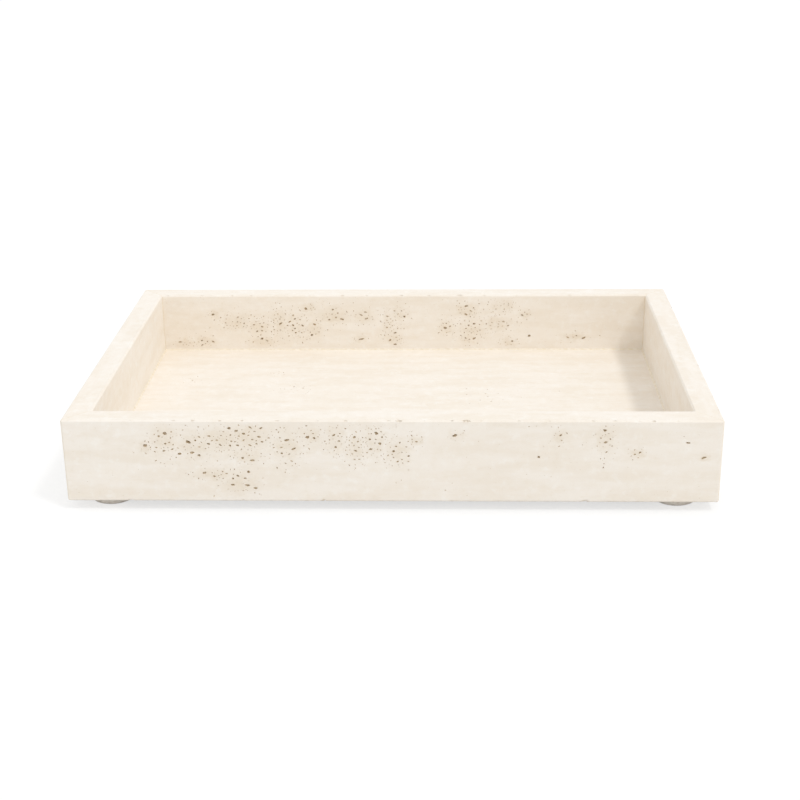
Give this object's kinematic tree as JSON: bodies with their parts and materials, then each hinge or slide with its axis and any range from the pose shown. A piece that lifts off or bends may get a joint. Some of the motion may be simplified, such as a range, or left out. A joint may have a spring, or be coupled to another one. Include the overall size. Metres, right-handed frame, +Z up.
{
  "type": "serving tray",
  "caption": "Rectangular stone tray with straight mitred walls, a flat floor and round feet under its corners.",
  "frame": {"origin": "on the surface that the feet stand on, under the middle of the tray", "axes": "+X along the length to the right as pictured, +Y from the front wall to the back wall, +Z up"},
  "size_m": [0.3, 0.2, 0.0451],
  "materials": {
    "stone": "honed cream travertine with open pores",
    "joint_resin": "cream tinted stone resin, rubbed flush",
    "foot_rubber": "matt off-white silicone rubber",
    "adhesive": "white foam tape"
  },
  "bodies": {
    "root": {"front_wall": "stone", "back_wall": "stone", "left_wall": "stone", "right_wall": "stone", "base_slab": "stone", "base_joint": "joint_resin", "front_left_joint": "joint_resin", "front_right_joint": "joint_resin", "back_left_joint": "joint_resin", "back_right_joint": "joint_resin", "front_left_foot": "foot_rubber", "front_right_foot": "foot_rubber", "back_left_foot": "foot_rubber", "back_right_foot": "foot_rubber", "front_left_adhesive": "adhesive", "front_right_adhesive": "adhesive", "back_left_adhesive": "adhesive", "back_right_adhesive": "adhesive"}
  },
  "joints": []
}
